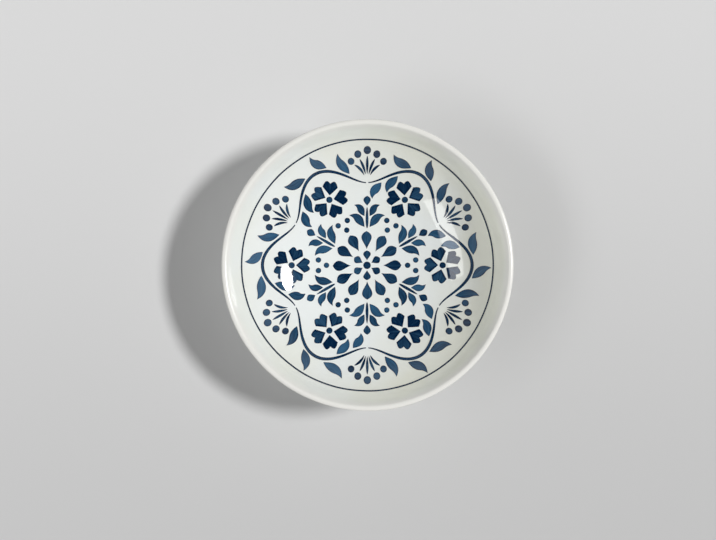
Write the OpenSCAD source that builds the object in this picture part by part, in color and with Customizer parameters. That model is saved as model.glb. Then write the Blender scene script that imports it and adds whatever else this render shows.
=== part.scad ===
// Soup plate: a deep coupe plate of glazed porcelain on a foot ring, with a floral design in blue paint.
// Millimetres. The origin is the centre of the plane that the foot stands on, and +Z is up.

/* [Plate] */
// Diameter across the rim
rim_d = 200; // [180:1:240]
// Depth of the bowl below the rim
bowl_depth = 46; // [43:0.5:52]
// Diameter of the shallow well, inside the wall that turns up, as a share of the rim's
well_ratio = 0.62; // [0.56:0.01:0.64]
// Slope of the bowl at the edge of the well, in degrees
well_angle = 25.5; // [22:0.5:28]
// Gap between the table and the underside at its middle
base_gap = 1.6; // [1.2:0.1:4]
// Thickness of the porcelain wall
wall_t = 3.2; // [2.8:0.1:4.5]
// How much thicker the round lip is than the wall
lip_bead = 0.4; // [0.3:0.1:1.2]
// Thickness of the glaze
glaze_t = 0.3; // [0.2:0.05:0.5]

/* [Foot ring] */
// Outside diameter of the foot at the table
foot_d = 92; // [80:1:104]
// Width of the foot at the table, with its bevels
foot_w = 4.5; // [3.5:0.1:7]
// How far each side of the foot has spread where it meets the bowl
foot_flare = 1.2; // [0.5:0.1:2]
// Bevel on the edges of the resting face
foot_edge = 0.6; // [0.3:0.1:1]
// Height of the bare band where the glaze is wiped off the foot
bare_h = 1.2; // [0.8:0.1:2]

/* [Paint] */
// Thickness of the paint
paint_t = 0.15; // [0.1:0.05:0.25]
// Clearance between the paint and the glaze under it
paint_seat = 0.12; // [0.08:0.01:0.16]
// Distance from the rim to the inner edge of the painted line
line_inset = 13; // [9:0.5:16]
// Width of the painted line
line_w = 0.9; // [0.6:0.1:1.5]
// Gap left between neighbouring brush strokes
paint_gap = 0.9; // [0.7:0.05:1.1]

/* [Wreath] */
// Number of waves in the stem, each with a blossom and a spray of berries
waves = 6; // [4:1:6]
// Distance from the middle of the stem's waves to the painted line
vine_margin = 20.4; // [19.4:0.1:22]
// Gap between a sprig's bud and the stem that bends towards it
bud_gap = 9.2; // [8.6:0.1:12]
// How far the stem swings out and in
vine_swing = 7.5; // [6.5:0.5:8]
// Width of the stem
vine_w = 2.1; // [1.4:0.1:2.4]
// Gap between the stem and a leaf that grows from it
leaf_gap = 1.2; // [1:0.1:1.5]
// Width of a leaf
leaf_w = 6; // [4.5:0.1:6.4]
// Gap between a blossom and the stem that bends round it
blossom_gap = 6; // [5.4:0.1:7]
// Length of a blossom's petal
petal_l = 9.8; // [8:0.1:10.2]
// Width of a blossom's petal
petal_w = 10.8; // [8:0.1:11]
// Diameter of a blossom's eye
eye_d = 4.4; // [3:0.1:4.8]
// Distance from the stem to the point that the berry stalks fan out from
spray_gap = 2.8; // [2.2:0.1:3.4]
// Distance from that point to the middle berry
spray_l = 18.8; // [17:0.1:20]
// Diameter of the middle berry
berry_d = 5.2; // [3.5:0.1:5.6]
// Width of a berry stalk
stalk_w = 1.8; // [1:0.1:2]

/* [Rosette and sprigs] */
// Diameter of the rosette's eye
rosette_eye_d = 5.4; // [4:0.1:6]
// Length of the rosette's inner petals
inner_petal_l = 7.2; // [5.5:0.1:7.6]
// Width of the rosette's inner petals
inner_petal_w = 5.4; // [3.5:0.1:5.6]
// Length of the rosette's outer petals
outer_petal_l = 13.2; // [11:0.1:13.6]
// Width of the rosette's outer petals
outer_petal_w = 7.4; // [5:0.1:7.8]
// Gap between the rosette and a sprig
sprig_gap = 1.8; // [1:0.1:2.4]
// Length of a sprig's stem
sprig_l = 15.5; // [14.5:0.1:16]
// Width of a sprig's stem
sprig_w = 2; // [1.2:0.1:2.2]
// Length of a sprig's bud
bud_l = 6.8; // [5:0.1:7.2]
// Width of a sprig's bud
bud_w = 5.2; // [3:0.1:5.4]
// Diameter of the dots between the sprigs
dot_d = 3.9; // [2.5:0.1:4.2]

/* [Hidden] */
$fn = 240;

porcelain = "#efeee8";
glaze = "#e9ebe8";
paint = "#1d3f66";

// Bowl: the middle of the wall is a shallow arc across the well, then a tighter one up to the round lip
lip_r = (wall_t + lip_bead) / 2;
plate_h = base_gap + bowl_depth + wall_t + 2 * glaze_t;
lip_at = [rim_d / 2 - glaze_t - lip_r, plate_h - glaze_t - lip_r];
mid_z = base_gap + glaze_t + wall_t / 2;
well_r = well_ratio * rim_d / 2 / sin(well_angle);
well_c = [0, mid_z + well_r];
bend_way = [sin(well_angle), -cos(well_angle)];
bend_at = well_c + well_r * bend_way;
bend_rise = lip_at - bend_at;
side_r = -(bend_rise * bend_rise) / (2 * bend_rise * bend_way);
side_c = bend_at - side_r * bend_way;
lip_way = (lip_at - side_c) / side_r;
glaze_face = wall_t / 2 + glaze_t;
// The wall's circle is this much larger, so that it crosses the well's circle and doesn't only touch it
bend_lap = 0.01;

// Foot ring
foot_out = foot_d / 2;
foot_in = foot_out - foot_w;
foot_mid = foot_out - foot_w / 2;

// A brush stroke's shape: where its belly lies, with 1 for the middle, and how full it is, with 1 for a sine
leaf_brush = [0.95, 1];
sprig_leaf_brush = [0.95, 1.1];
stalk_brush = [1.2, 0.7];
sprig_brush = [0.8, 0.6];
bud_brush = [1.3, 0.8];
inner_petal_brush = [1.6, 0.8];
outer_petal_brush = [1.7, 0.8];
stroke_steps = 12;

// Rosette and sprigs, from the middle outwards
inner_petal_count = waves;
outer_petal_count = 2 * waves;
outer_petal_angle = 1.2;
inner_petal_r = rosette_eye_d / 2 + paint_gap;
outer_petal_r = inner_petal_r + inner_petal_l + paint_gap;
rosette_r = outer_petal_r + outer_petal_l;
sprig_r = rosette_r + sprig_gap;
bud_r = sprig_r + sprig_l + paint_gap;
// A pair of sprig leaves: its place along the stem, its length, width and bow, and its lean in degrees
sprig_leaf_list = [[1.1, 13.8, 5.8, 2, 53], [8.9, 10.8, 4.9, 1.4, 43]];
sprig_swerve = 0.45;
// A dot's distance outside the rosette, and its angle from the blossom
dot_list = [[4.5, 0], [10.5, -6.2], [10.5, 6.2]];

// Wreath. A leaf is given by its share of the wave, its side of the stem, its length and its lean in degrees
wave = 360 / waves;
vine_r = bud_r + bud_l + bud_gap + vine_swing;
vine_steps = 36;
vine_break_angle = 0.8;
vine_tip_ratio = 0.3;
vine_leaf_list = [
    [-0.3, 1, 15.4, 38], [-0.11, 1, 14, 29], [0.085, 1, 16.4, 31], [0.2, -1, 13.6, 41], [0.355, -1, 12.4, 38]
];
leaf_bow = 1.5;
leaf_swerve = 0.5;
leaf_lean_angle = 2.5;
leaf_length_ratio = 0.05;
blossom_petal_count = 5;
petal_turn_angle = 2;
petal_start = eye_d / 2 + paint_gap;
blossom_r = vine_r + vine_swing - vine_w / 2 - blossom_gap - petal_start - petal_l;
berry_pairs = 2;
berry_fan_angle = 22.5;
berry_drop = 1.3;
berry_shrink_ratio = 0.05;
stalk_start = 3;
stalk_bow = 0.5;
spray_r = vine_r - vine_swing + spray_gap;

// The design as drawn reaches this far, and is printed to fill the field inside the painted line
drawn_r = vine_r + vine_margin;
field_r = rim_d / 2 - line_inset;
fit = field_r / drawn_r;

function polar(r, a) = [r * cos(a), r * sin(a)];
// A small repeatable wander between -1 and 1, as a hand's
function wander(seed) = sin(137.5 * seed);

// A brush stroke along +X from the origin: the middle bows to one side and may swerve like an S
function stroke_mid(t, l, bow, swerve) = [l * t, 4 * bow * t * (1 - t) + swerve * sin(360 * t)];
function stroke_slope(t, l, bow, swerve) = (4 * bow * (1 - 2 * t) + 2 * PI * swerve * cos(360 * t)) / l;
function stroke_half(t, w, brush) = w / 2 * pow(max(0, sin(180 * pow(t, brush[0]))), brush[1]);
function stroke_edge(t, side, l, w, brush, bow, swerve) =
    let (slope = stroke_slope(t, l, bow, swerve))
    stroke_mid(t, l, bow, swerve) + side * stroke_half(t, w, brush) / norm([slope, 1]) * [-slope, 1];
function stroke(l, w, brush, bow = 0, swerve = 0) = concat(
    [for (i = [0 : stroke_steps]) stroke_edge(i / stroke_steps, -1, l, w, brush, bow, swerve)],
    [for (i = [stroke_steps - 1 : -1 : 1]) stroke_edge(i / stroke_steps, 1, l, w, brush, bow, swerve)]
);

// A notched petal along +X: a point at the origin, and an outer edge of two round lobes
petal_notch_ratio = 0.18;
petal_shoulder_ratio = 0.42;
function petal_edge(u) =
    let (lobe = 2 * abs(u) - 1)
    1 - (lobe < 0 ? petal_notch_ratio : petal_shoulder_ratio) * lobe * lobe;
function notched_petal(l, w) = concat(
    [[0, 0]],
    [for (i = [-stroke_steps : 2 : stroke_steps])
        let (u = i / stroke_steps) [l * petal_edge(u), w / 2 * u]]
);

// The stem's middle line, the way it runs, and one wave of it from trough to trough
function vine_at(a) = polar(vine_r + vine_swing * cos(waves * a), a);
function vine_way(a) =
    let (run = vine_r + vine_swing * cos(waves * a), swing = -waves * vine_swing * sin(waves * a))
    a + 90 - atan2(swing, run);
function vine_edge(t, side, turn) =
    let (
        a = turn + (t - 0.5) * (wave - 2 * vine_break_angle),
        half = vine_w / 2 * (vine_tip_ratio + (1 - vine_tip_ratio) * sin(180 * t))
    )
    vine_at(a) + side * half * polar(1, vine_way(a) + 90);
function vine_wave(turn) = concat(
    [for (i = [0 : vine_steps]) vine_edge(i / vine_steps, -1, turn)],
    [for (i = [vine_steps : -1 : 0]) vine_edge(i / vine_steps, 1, turn)]
);

// Half section of a layer of the bowl, between two distances inside the wall's middle
module bowl_layer(low, high) {
    reach = 2 * well_r;
    intersection() {
        difference() {
            bowl_room(low);
            bowl_room(high);
        }
        polygon([[0, side_c[1]], side_c, side_c + reach * lip_way, [reach, -reach], [0, -reach]]);
    }
}

// Half section of the room inside a layer of the bowl: the well's sector, and the whole circle of the wall
module bowl_room(inside) {
    reach = 2 * well_r;
    translate(well_c) intersection() {
        circle(well_r - inside);
        polygon([[0, 0], [0, -reach], reach * (bend_way + [0, -1]), reach * bend_way]);
    }
    translate(side_c) circle(side_r - inside + bend_lap);
}

// Half section of the plate, grown by a skin of glaze
module plate_half(skin) {
    intersection() {
        translate([0, -skin]) square([rim_d, plate_h + 2 * skin]);
        union() {
            bowl_layer(-wall_t / 2 - skin, wall_t / 2 + skin);
            translate(lip_at) circle(lip_r + skin);
            foot_half(skin);
        }
    }
}

module foot_half(skin) {
    out_top = foot_out + foot_flare;
    in_top = foot_in - foot_flare;
    polygon([
        [foot_in + foot_edge - skin, 0], [foot_out - foot_edge + skin, 0], [foot_out + skin, foot_edge],
        [out_top + skin, bowl_z(out_top)], [in_top - skin, bowl_z(in_top)], [foot_in - skin, foot_edge]
    ]);
}

// Height of the wall's middle at a distance from the axis
function bowl_z(r) = well_c[1] - sqrt(well_r * well_r - r * r);

// Half section of all the glaze, which stops short of the table
module glaze_half() {
    difference() {
        plate_half(glaze_t);
        plate_half(0);
        translate([foot_mid - foot_w, -plate_h]) square([2 * foot_w, plate_h + bare_h]);
    }
}

// Half section of the room below the well, inside the foot
module under_half() {
    difference() {
        square([foot_mid, plate_h]);
        translate(well_c) circle(well_r);
    }
}

module porcelain_body() {
    color(porcelain) rotate_extrude() plate_half(0);
}

module glaze_coat() {
    color(glaze) rotate_extrude() difference() {
        glaze_half();
        under_half();
    }
}

module base_glaze() {
    color(glaze) rotate_extrude() intersection() {
        glaze_half();
        under_half();
    }
}

// A film of paint on the glazed inside of the bowl, wherever the plan outline lies
module painted() {
    color(paint) intersection() {
        rotate_extrude() bowl_layer(glaze_face + paint_seat, glaze_face + paint_seat + paint_t);
        linear_extrude(plate_h) children();
    }
}

module on_field(turn, at, lean) {
    scale(fit) translate(at) rotate(turn + lean) children();
}

module edge_line() {
    painted() difference() {
        circle(field_r + line_w);
        circle(field_r);
    }
}

module vine_stems() {
    painted() scale(fit) for (i = [0 : waves - 1]) polygon(vine_wave(wave * i));
}

module vine_leaves() {
    painted() for (i = [0 : waves - 1], j = [0 : len(vine_leaf_list) - 1]) {
        leaf = vine_leaf_list[j];
        seed = i * len(vine_leaf_list) + j;
        side = leaf[1];
        a = wave * (i + leaf[0]);
        base = vine_at(a) - side * (vine_w / 2 + leaf_gap) * polar(1, vine_way(a) + 90);
        leaf_l = leaf[2] * (1 + leaf_length_ratio * wander(2 * seed + 1));
        on_field(vine_way(a), base, -side * (leaf[3] + leaf_lean_angle * wander(seed)))
            polygon(stroke(leaf_l, leaf_w, leaf_brush, side * leaf_bow, -side * leaf_swerve));
    }
}

module blossom_petals() {
    painted() for (i = [0 : waves - 1], k = [0 : blossom_petal_count - 1]) {
        petal = 360 / blossom_petal_count * (k + 0.5);
        turn = wave * i + petal + petal_turn_angle * wander(k + blossom_petal_count * i);
        on_field(turn, polar(blossom_r, wave * i) + polar(petal_start, turn), 0)
            polygon(notched_petal(petal_l, petal_w));
    }
}

module blossom_eyes() {
    painted() for (i = [0 : waves - 1]) on_field(0, polar(blossom_r, wave * i), 0) circle(d = eye_d);
}

// Runs its children once for each berry, at the point that the stalks fan out from, with +X up the stalk
module berry_fan() {
    for (i = [0 : waves - 1], $k = [-berry_pairs : berry_pairs])
        on_field(wave * (i + 0.5), polar(spray_r, wave * (i + 0.5)), berry_fan_angle * $k) children();
}

function berry_reach(k) = spray_l - berry_drop * abs(k);
function berry_size(k) = berry_d * (1 - berry_shrink_ratio * abs(k));

module berry_stalks() {
    painted() berry_fan() {
        stalk_l = berry_reach($k) - berry_size($k) / 2 - paint_gap - stalk_start;
        translate([stalk_start, 0]) polygon(stroke(stalk_l, stalk_w, stalk_brush, -stalk_bow * $k));
    }
}

module berries() {
    painted() berry_fan() translate([berry_reach($k), 0]) circle(d = berry_size($k));
}

module rosette_outer_petals() {
    painted() for (k = [0 : outer_petal_count - 1]) {
        turn = 360 / outer_petal_count * k + outer_petal_angle * wander(k);
        on_field(turn, polar(outer_petal_r, turn), 0)
            polygon(stroke(outer_petal_l, outer_petal_w, outer_petal_brush));
    }
}

module rosette_inner_petals() {
    painted() for (k = [0 : inner_petal_count - 1]) {
        turn = 360 / inner_petal_count * (k + 0.5);
        on_field(turn, polar(inner_petal_r, turn), 0)
            polygon(stroke(inner_petal_l, inner_petal_w, inner_petal_brush));
    }
}

module rosette_eye() {
    painted() scale(fit) circle(d = rosette_eye_d);
}

module sprig_stems() {
    painted() for (i = [0 : waves - 1])
        on_field(wave * (i + 0.5), polar(sprig_r, wave * (i + 0.5)), 0)
            polygon(stroke(sprig_l, sprig_w, sprig_brush));
}

module sprig_leaves() {
    painted() for (i = [0 : waves - 1], leaf = sprig_leaf_list, side = [-1, 1]) {
        turn = wave * (i + 0.5);
        base = polar(sprig_r + leaf[0], turn) + polar(sprig_w / 2 + paint_gap, turn + 90 * side);
        on_field(turn, base, side * leaf[4])
            polygon(stroke(leaf[1], leaf[2], sprig_leaf_brush, -side * leaf[3], side * sprig_swerve));
    }
}

module sprig_buds() {
    painted() for (i = [0 : waves - 1])
        on_field(wave * (i + 0.5), polar(bud_r, wave * (i + 0.5)), 0)
            polygon(stroke(bud_l, bud_w, bud_brush));
}

module scatter_dots() {
    painted() for (i = [0 : waves - 1], dot = dot_list)
        on_field(0, polar(rosette_r + dot[0], wave * i + dot[1]), 0) circle(d = dot_d);
}

porcelain_body();
glaze_coat();
base_glaze();
edge_line();
vine_stems();
vine_leaves();
blossom_petals();
blossom_eyes();
berry_stalks();
berries();
rosette_outer_petals();
rosette_inner_petals();
rosette_eye();
sprig_stems();
sprig_leaves();
sprig_buds();
scatter_dots();
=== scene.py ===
"""Soup plate of glazed porcelain with a wreath in cobalt paint, on a plain pale floor.

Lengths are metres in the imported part's frame: the origin is the centre of the foot, and +Z is up.
"""
import math
from types import SimpleNamespace

import bmesh
import bpy
from bpy.props import FloatProperty, FloatVectorProperty, IntProperty, PointerProperty
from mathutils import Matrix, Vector


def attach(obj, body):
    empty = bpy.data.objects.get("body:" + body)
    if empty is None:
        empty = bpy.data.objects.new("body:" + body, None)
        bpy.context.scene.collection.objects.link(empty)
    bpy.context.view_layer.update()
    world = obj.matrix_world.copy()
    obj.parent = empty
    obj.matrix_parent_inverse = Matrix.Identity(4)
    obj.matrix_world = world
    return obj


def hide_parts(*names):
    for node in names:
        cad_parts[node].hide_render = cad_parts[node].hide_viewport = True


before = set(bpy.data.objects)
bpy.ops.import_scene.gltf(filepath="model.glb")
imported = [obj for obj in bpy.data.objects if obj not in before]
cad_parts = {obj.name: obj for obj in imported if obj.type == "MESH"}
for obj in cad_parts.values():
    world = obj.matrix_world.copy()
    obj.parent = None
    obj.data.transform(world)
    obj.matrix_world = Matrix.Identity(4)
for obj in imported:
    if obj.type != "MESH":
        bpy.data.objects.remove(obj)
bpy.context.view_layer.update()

bl_info = {
    "name": "Soup Plate",
    "version": (1, 0, 0),
    "blender": (4, 5, 0),
    "location": "View3D > Sidebar > Soup Plate",
    "description": "Builds a glazed porcelain soup plate with a painted wreath, and a stage for it",
    "category": "Add Mesh",
}

MM = 0.001
BODY = "root"

# Steps of the meshes
ROUND_STEPS = 256
WELL_STEPS = 30
SIDE_STEPS = 24
LIP_STEPS = 18
STROKE_STEPS = 14
VINE_STEPS = 40
BRISTLES = 6
DOT_STEPS = 28
DOT_RINGS = 2
DOT_INSET = 0.35
LINE_STEPS = 360
EDGE_SEGMENTS = 3
POOL_SEGMENTS = 8
WELD = 0.001 * MM
STROKE_WELD = 0.002 * MM

# The photograph's frame, and where the plate lies in it, in pixels
FRAME_WIDE = 716
FRAME_HIGH = 540
RIM_RADIUS_PX = 146.4
PLATE_PX = (367.6, 265.0)

# The wreath's leaves: share of the wave, side of the stem, length in millimetres and lean in degrees
VINE_LEAVES = (
    (-0.3, 1, 15.4, 38),
    (-0.11, 1, 14.0, 29),
    (0.085, 1, 16.4, 31),
    (0.2, -1, 13.6, 41),
    (0.355, -1, 12.4, 38),
)
# A sprig's pairs of leaves: place along the stem, length, width and bow in millimetres, and lean in degrees
SPRIG_LEAVES = ((1.1, 13.8, 5.8, 2.0, 53), (8.9, 10.8, 4.9, 1.4, 43))
# The dots between the sprigs: millimetres outside the rosette, and degrees from the blossom
SCATTER_DOTS = ((4.5, 0.0), (10.5, -6.2), (10.5, 6.2))

# A brush stroke's shape: where its belly lies, with 1 for the middle, and how full it is, with 1 for a sine
LEAF_BRUSH = (0.95, 1.0)
SPRIG_LEAF_BRUSH = (0.95, 1.1)
STALK_BRUSH = (1.2, 0.7)
SPRIG_BRUSH = (0.8, 0.6)
BUD_BRUSH = (1.3, 0.8)
INNER_PETAL_BRUSH = (1.6, 0.8)
OUTER_PETAL_BRUSH = (1.7, 0.8)

# How much paint each motif's brush carried, from a pale wash at 0 to a full load at 1
TONE_LINE = 0.95
TONE_STEM = 0.72
TONE_LEAF = 0.42
TONE_PETAL = 0.82
TONE_BERRY = 0.7
TONE_ROSETTE = 0.75
TONE_SPRIG = 0.5
TONE_DOT = 0.6
TONE_WANDER = 0.2

# The hand's wander: degrees from one draw to the next, and the painted line's wobble, as a share of half its
# width, with its waves round the plate and the degrees for one draw
WANDER_TURN = 137.5
LINE_WOBBLE = 0.12
LINE_WAVES = 5
LINE_DRAW = 9

# Sizes of the finishes' patterns, of which grit, streaks and pooled edge are twice as coarse as real
CLOUD_SIZE = 40 * MM
SPECK_SPACING = 14 * MM
GLOSS_SIZE = 12 * MM
FLOW_SIZE = 7 * MM
FLOW_DEEP = 0.02 * MM
RUB_SIZE = 5 * MM
GRIT_SIZE = 0.5 * MM
GRIT_DEEP = 0.05 * MM
STREAK_LONG = 9 * MM
STREAK_WIDE = 1.1 * MM
POOL_RIM = 0.1 * MM
POOL_WIDE = 0.7 * MM
FLOOR_FADE = 260 * MM

# Where the finishes change: heights above the table, and how far across the axis the painted warm shade on
# the +X side's wall fades in
SCUFF_TOP = 0.5 * MM
WALL_LOW = 15 * MM
WALL_HIGH = 35 * MM
LIP_LOW = 46 * MM
LIP_HIGH = 51 * MM
SHADE_TINT_FADE = 70 * MM

# Rise of a ray, from 0 at the horizon to 1 overhead, where the backdrop starts to dim and where it has dimmed
BACKDROP_TOP = 0.25
CEILING_EDGE = 0.6


def linear(code):
    """Linear RGBA of an sRGB hex colour."""
    channels = [int(code[i:i + 2], 16) / 255 for i in (1, 3, 5)]
    return tuple(c / 12.92 if c <= 0.04045 else ((c + 0.055) / 1.055) ** 2.4 for c in channels) + (1.0,)


def length(name, description, millimetres):
    """A length property, with its default given in millimetres."""
    return FloatProperty(
        name=name, description=description, default=millimetres * MM, min=0.0,
        precision=5, subtype="DISTANCE", unit="LENGTH",
    )


def turn(name, description, degrees):
    """An angle property, with its default given in degrees."""
    return FloatProperty(
        name=name, description=description, default=math.radians(degrees), subtype="ANGLE", unit="ROTATION",
    )


def colour(name, description, code):
    """A colour property, with its default given as sRGB hex."""
    return FloatVectorProperty(
        name=name, description=description, default=linear(code), size=4, min=0.0, max=1.0, subtype="COLOR",
    )


class PlateSizes(bpy.types.PropertyGroup):
    """Sizes of the porcelain and its glaze."""

    rim_d: length("Rim diameter", "Diameter across the rim", 200)
    bowl_depth: length("Bowl depth", "Depth of the bowl below the rim", 46)
    well_ratio: FloatProperty(
        name="Well", description="Diameter of the shallow well as a share of the rim's", default=0.62,
    )
    well_angle: turn("Well slope", "Slope of the bowl at the edge of the well", 25.5)
    base_gap: length("Base gap", "Gap between the table and the underside at its middle", 1.6)
    wall_t: length("Wall", "Thickness of the porcelain wall", 3.2)
    lip_bead: length("Lip bead", "How much thicker the round lip is than the wall", 0.4)
    lip_fade: length("Lip fade", "Distance below the lip over which its bead fades into the wall", 9)
    glaze_t: length("Glaze", "Thickness of the glaze", 0.3)
    glaze_roll: length("Glaze roll", "Rounding of the glaze's edge on the foot", 0.14)
    foot_d: length("Foot diameter", "Outside diameter of the foot at the table", 92)
    foot_w: length("Foot width", "Width of the foot at the table, with its bevels", 4.5)
    foot_flare: length("Foot flare", "How far each side of the foot has spread at the bowl", 1.2)
    foot_edge: length("Foot edge", "Bevel on the edges of the resting face", 0.6)
    foot_pool: length("Foot pool", "Size of the fillet where the glaze pools against the foot", 2.4)
    bare_h: length("Bare band", "Height of the band where the glaze is wiped off the foot", 1.2)


class PaintSizes(bpy.types.PropertyGroup):
    """Sizes of the painted line and the design inside it."""

    paint_t: length("Paint", "Thickness of the paint on the glaze", 0.12)
    line_inset: length("Line inset", "Distance from the rim to the inner edge of the line", 13)
    line_w: length("Line width", "Width of the painted line", 0.9)
    paint_gap: length("Stroke gap", "Gap left between neighbouring strokes", 0.9)
    waves: IntProperty(name="Waves", description="Waves in the wreath's stem", default=6, min=4, max=6)
    vine_margin: length("Stem margin", "Distance from the middle of the stem's waves to the line", 20.4)
    bud_gap: length("Bud gap", "Gap between a sprig's bud and the stem", 9.2)
    vine_swing: length("Stem swing", "How far the stem swings out and in", 7.5)
    vine_w: length("Stem width", "Width of the stem", 2.1)
    leaf_gap: length("Leaf gap", "Gap between the stem and a leaf that grows from it", 1.2)
    leaf_w: length("Leaf width", "Width of a leaf", 6)
    leaf_bow: length("Leaf bow", "How far a leaf bows to one side", 1.5)
    leaf_swerve: length("Leaf swerve", "How far a leaf swerves like an S", 0.5)
    blossom_gap: length("Blossom gap", "Gap between a blossom and the stem round it", 6)
    petal_l: length("Petal length", "Length of a blossom's petal", 9.8)
    petal_w: length("Petal width", "Width of a blossom's petal", 10.8)
    eye_d: length("Eye diameter", "Diameter of a blossom's eye", 4.4)
    spray_gap: length("Spray gap", "Distance from the stem to the point of a berry spray", 2.8)
    spray_l: length("Spray length", "Distance from that point to the middle berry", 18.8)
    berry_d: length("Berry diameter", "Diameter of the middle berry", 5.2)
    berry_drop: length("Berry drop", "How much shorter each stalk is than the last", 1.3)
    berry_fan: turn("Berry fan", "Angle between neighbouring stalks", 22.5)
    stalk_w: length("Stalk width", "Width of a berry stalk", 1.8)
    stalk_start: length("Stalk start", "Distance from the spray's point to a stalk's foot", 3)
    stalk_bow: length("Stalk bow", "How much more each stalk bows than the last", 0.5)
    rosette_eye_d: length("Rosette eye", "Diameter of the rosette's eye", 5.4)
    inner_petal_l: length("Inner petal length", "Length of the rosette's inner petals", 7.2)
    inner_petal_w: length("Inner petal width", "Width of the rosette's inner petals", 5.4)
    outer_petal_l: length("Outer petal length", "Length of the rosette's outer petals", 13.2)
    outer_petal_w: length("Outer petal width", "Width of the rosette's outer petals", 7.4)
    sprig_gap: length("Sprig gap", "Gap between the rosette and a sprig", 1.8)
    sprig_l: length("Sprig length", "Length of a sprig's stem", 15.5)
    sprig_w: length("Sprig width", "Width of a sprig's stem", 2)
    sprig_swerve: length("Sprig swerve", "How far a sprig's leaf swerves like an S", 0.45)
    bud_l: length("Bud length", "Length of a sprig's bud", 6.8)
    bud_w: length("Bud width", "Width of a sprig's bud", 5.2)
    dot_d: length("Dot diameter", "Diameter of the dots between the sprigs", 3.9)


class Finishes(bpy.types.PropertyGroup):
    """Colours of the plate and of the floor."""

    glaze_cool: colour("Glaze, cool", "Where the glaze lies thick, in the well", "#edf1f0")
    # Glaze, warm: the thin glaze up the wall, and also a painted warm tint of the shaded wall on the +X side
    glaze_warm_and_shade: colour("Glaze, warm", "Where the glaze lies thin, up the wall", "#ebece0")
    glaze_lip: colour("Glaze, lip", "Over the lip, where the glaze runs thin", "#efeee9")
    speck: colour("Speck", "Iron specks in the glaze", "#b7ab98")
    bare_clay: colour("Bare porcelain", "The unglazed foot", "#e2dbcd")
    bare_scuff: colour("Scuff", "Wear on the unglazed foot", "#b9b1a4")
    paint_wash: colour("Paint, wash", "Where the brush was nearly dry", "#396587")
    paint_deep: colour("Paint, deep", "Where the paint is thickest", "#00203f")
    floor_front: colour("Floor, front", "The floor's paper at the front", "#c7c7c7")
    floor_back: colour("Floor, back", "The floor's paper at the back", "#e0e0e0")
    backdrop: colour("Backdrop", "What lies past the floor", "#dcdcdc")


class StageSettings(bpy.types.PropertyGroup):
    """Light, floor and camera."""

    floor_wide: length("Floor", "Width of the floor", 9000)
    key_power: FloatProperty(
        name="Key power", description="Power of the key light", default=680.0, unit="POWER",
    )
    key_reach: length("Key distance", "Distance of the key light from the plate", 9000)
    key_azimuth: turn("Key azimuth", "Direction of the key light, from +X towards +Y", 9)
    key_height: turn("Key height", "Height of the key light above the floor", 45.7)
    key_wide: length("Key face width", "Width of the key light", 1935)
    key_high: length("Key face height", "Height of the key light's face", 1012)
    card_power: FloatProperty(
        name="Card power", description="Power of the white card", default=5.6, unit="POWER",
    )
    card_reach: length("Card distance", "Distance of the white card from the plate", 1600)
    card_azimuth: turn("Card azimuth", "Direction of the white card, from +X towards +Y", 199)
    card_height: turn("Card height", "Height of the white card above the floor", 44)
    card_wide: length("Card face width", "Width of the white card", 1200)
    card_high: length("Card face height", "Height of the white card's face", 360)
    fill_top: FloatProperty(name="Fill, top", description="Strength of the light from above", default=0.05)
    fill_side: FloatProperty(
        name="Fill, sides", description="Mean strength of the light from the sides", default=0.42,
    )
    fill_azimuth: turn("Fill azimuth", "Side from which the fill is strongest", 202)
    fill_slant: FloatProperty(
        name="Fill slant", description="How much stronger the fill is from that side", default=0.47,
    )
    camera_reach: length("Camera distance", "Distance of the camera above the rim", 700)
    sensor: length("Sensor", "Width of the camera's sensor", 36)


# Section of the plate

def plate_section(size):
    """Points and radii of the half section: the middle of the wall is a shallow arc across the well, then a
    tighter one from its bend up to the round lip."""
    lip_r = (size.wall_t + size.lip_bead) / 2
    height = size.base_gap + size.bowl_depth + size.wall_t + 2 * size.glaze_t
    lip = Vector((size.rim_d / 2 - size.glaze_t - lip_r, height - size.glaze_t - lip_r))
    well_r = size.well_ratio * size.rim_d / 2 / math.sin(size.well_angle)
    well = Vector((0.0, size.base_gap + size.glaze_t + size.wall_t / 2 + well_r))
    way = Vector((math.sin(size.well_angle), -math.cos(size.well_angle)))
    bend = well + way * well_r
    rise = lip - bend
    side_r = -rise.dot(rise) / (2 * rise.dot(way))
    return SimpleNamespace(
        lip=lip,
        well=well,
        well_r=well_r,
        bend=bend,
        way=way,
        side=bend - way * side_r,
        side_r=side_r,
        glaze_face=size.wall_t / 2 + size.glaze_t,
        height=height,
    )


def layer_z(section, radius, inside):
    """Height of a layer of the bowl, some way inside the wall's middle, at a distance from the axis."""
    if radius <= (section.well_r - inside) * section.way.x:
        return section.well.y - math.sqrt((section.well_r - inside) ** 2 - radius ** 2)
    return section.side.y - math.sqrt((section.side_r - inside) ** 2 - (radius - section.side.x) ** 2)


def foot_side(size, section, side, skin):
    """Low and high end of the foot's outer side, or of its inner side where side is -1, grown by a skin."""
    low_x = size.foot_d / 2 - (0 if side > 0 else size.foot_w)
    high_x = low_x + side * size.foot_flare
    high_z = layer_z(section, high_x, 0.0)
    return Vector((low_x + side * skin, size.foot_edge)), Vector((high_x + side * skin, high_z))


def side_at(low, high, z):
    """Point at a height on the straight line through two points."""
    return low.lerp(high, (z - low.y) / (high.y - low.y))


def meet_wall(section, low, high, radius):
    """Where the line from low to high first meets the underside's sphere of a radius."""
    way = high - low
    out = low - section.well
    a = way.dot(way)
    b = out.dot(way)
    c = out.dot(out) - radius ** 2
    return low + way * ((-b - math.sqrt(b * b - a * c)) / a)


def start_at(bm, point):
    """First vertex of an outline in the XZ plane."""
    return bm.verts.new((point.x, 0.0, point.y))


def draw_to(bm, vert, point):
    """Draws a straight edge from a vertex to a point, and returns the new vertex."""
    made = bmesh.ops.extrude_vert_indiv(bm, verts=[vert])
    made["verts"][0].co = (point.x, 0.0, point.y)
    return made["verts"][0]


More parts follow.
